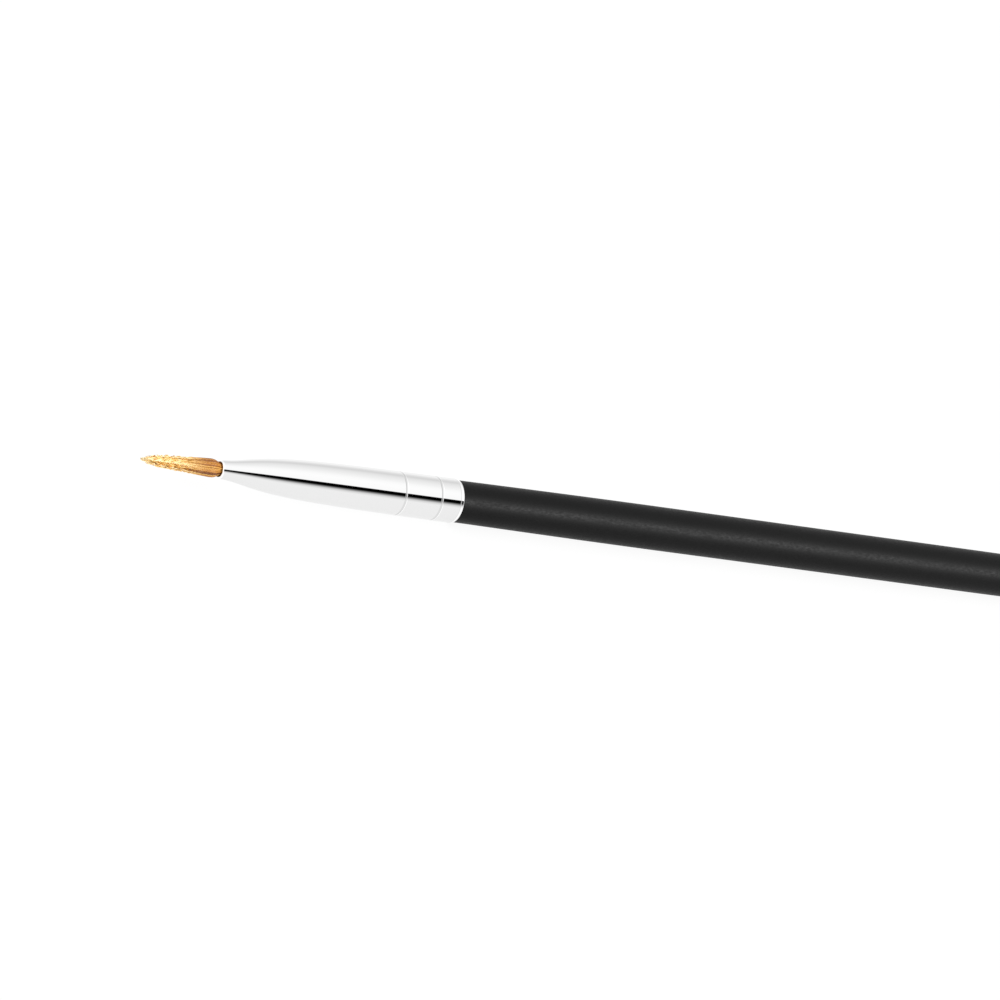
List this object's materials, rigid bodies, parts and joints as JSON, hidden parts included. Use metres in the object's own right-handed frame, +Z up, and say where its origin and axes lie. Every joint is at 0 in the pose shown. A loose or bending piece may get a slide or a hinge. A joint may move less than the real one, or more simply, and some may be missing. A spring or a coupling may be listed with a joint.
{
  "type": "fine detail brush",
  "caption": "Fine detail brush with a slim black lacquered handle, an ogive plated ferrule with crimp rings, and a small golden hair tuft.",
  "frame": {"origin": "on the surface the brush lies on, under the middle of its length", "axes": "+X along the brush from the hair to the handle's tail, +Z up from the surface, +Y to the left of that"},
  "size_m": [0.166, 0.005, 0.005],
  "materials": {
    "black_lacquer": "satin black lacquer on turned wood, fine speckle",
    "plated_metal": "bright plated drawn tube, mirror polish",
    "wood_glue": "dried adhesive film",
    "thread": "fine waxed thread",
    "resin": "cured amber resin",
    "hair_root": "brown bound hair roots",
    "hair": "golden natural hair, orange towards the root"
  },
  "bodies": {
    "handle_assembly": {"handle": "black_lacquer", "ferrule": "plated_metal", "tenon_adhesive": "wood_glue", "thread_binding": "thread", "root_resin": "resin", "hair_root": "hair_root"},
    "free_hair": {"hair_core": "hair", "inner_hair_lock_1": "hair", "inner_hair_lock_2": "hair", "inner_hair_lock_3": "hair", "inner_hair_lock_4": "hair", "inner_hair_lock_5": "hair", "outer_hair_lock_1": "hair", "outer_hair_lock_2": "hair", "outer_hair_lock_3": "hair", "outer_hair_lock_4": "hair", "outer_hair_lock_5": "hair", "outer_hair_lock_6": "hair", "outer_hair_lock_7": "hair", "outer_hair_lock_8": "hair", "outer_hair_lock_9": "hair", "outer_hair_lock_10": "hair"}
  },
  "joints": [
    {"name": "tuft_bend", "type": "hinge", "parent": "handle_assembly", "child": "free_hair", "pos_m": [-0.0755, 0, 0.0025], "axis": [0, 0, 1], "range_deg": [-45, 45], "stiffness_Nm_per_rad": 0.0003}
  ]
}
